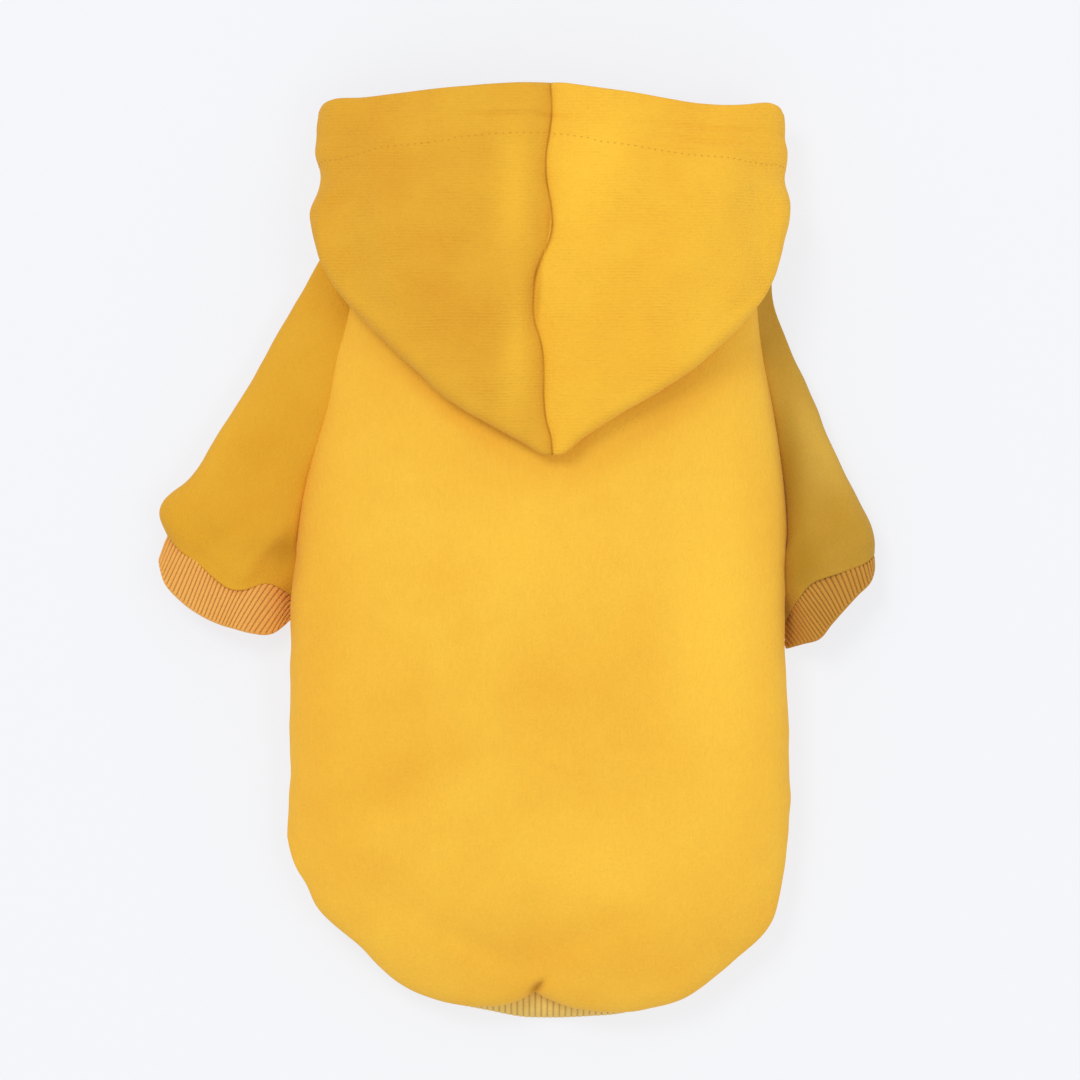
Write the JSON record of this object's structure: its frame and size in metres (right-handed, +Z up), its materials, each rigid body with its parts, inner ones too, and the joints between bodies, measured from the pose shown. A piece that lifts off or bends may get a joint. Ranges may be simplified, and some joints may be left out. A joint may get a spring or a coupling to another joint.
{
  "type": "dog hoodie",
  "caption": "Fleece hoodie for a small dog, lying flat on its belly with the hood laid back, with raglan sleeves, rib-knit cuffs and a rib-knit waistband",
  "frame": {"origin": "the middle of the bounding box's bottom, on the surface that the hoodie lies on", "axes": "+Y points to the head end, the garment's longest way; +X to the side at the right when it is seen from above with the head end up; +Z up, away from the surface, the shortest way"},
  "size_m": [0.2734, 0.355, 0.0559],
  "materials": {
    "back_fleece": "brushed golden-yellow fleece, matt",
    "belly_fleece": "brushed golden-yellow fleece, matt",
    "sleeve_fleece": "brushed golden-yellow fleece, matt",
    "hood_fleece": "golden-yellow fleece with fine rows of knit, matt",
    "cuff_rib": "golden-tan rib knit, matt",
    "waistband_rib": "golden-tan rib knit, matt"
  },
  "bodies": {
    "root": {"back_panel": "back_fleece", "belly_panel": "belly_fleece", "waistband_back": "waistband_rib", "waistband_belly": "waistband_rib", "sleeve_left": "sleeve_fleece", "sleeve_right": "sleeve_fleece", "cuff_left": "cuff_rib", "cuff_right": "cuff_rib", "hood_left": "hood_fleece", "hood_right": "hood_fleece"}
  },
  "joints": []
}
